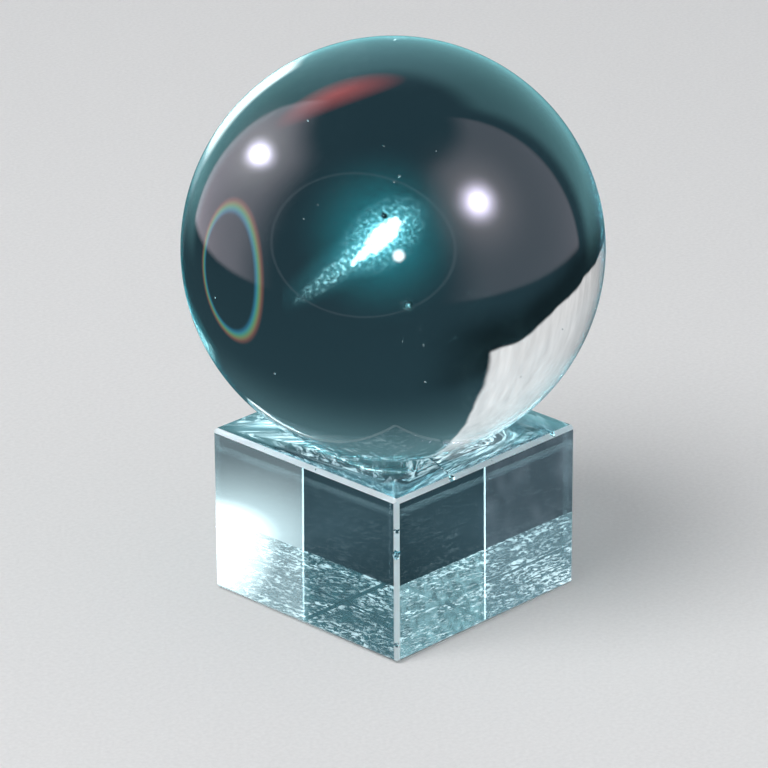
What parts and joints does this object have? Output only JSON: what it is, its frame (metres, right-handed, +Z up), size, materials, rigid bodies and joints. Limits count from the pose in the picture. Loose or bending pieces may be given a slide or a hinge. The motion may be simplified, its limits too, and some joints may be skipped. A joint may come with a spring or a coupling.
{
  "type": "crystal ball",
  "caption": "Clear solid glass ball resting loose in a shallow round seat in the top of a bevelled square glass block.",
  "frame": {"origin": "centre of the block's underside, on the surface that it stands on", "axes": "+Z up through the centre of the ball; +X and +Y square to the block's side faces"},
  "size_m": [0.1, 0.1, 0.1377],
  "materials": {
    "ball_glass": "polished, clear, faint blue-green tint",
    "block_glass": "polished sides, top and seat; pale ground bevels with small chips; scuffed underside with two clearer strips that cross"
  },
  "bodies": {
    "block": {"glass_block": "block_glass"},
    "ball": {"crystal_ball": "ball_glass"}
  },
  "joints": [
    {"name": "ball_lift", "type": "slide", "parent": "block", "child": "ball", "axis": [0, 0, 1], "range_m": [0, 0.06]}
  ]
}
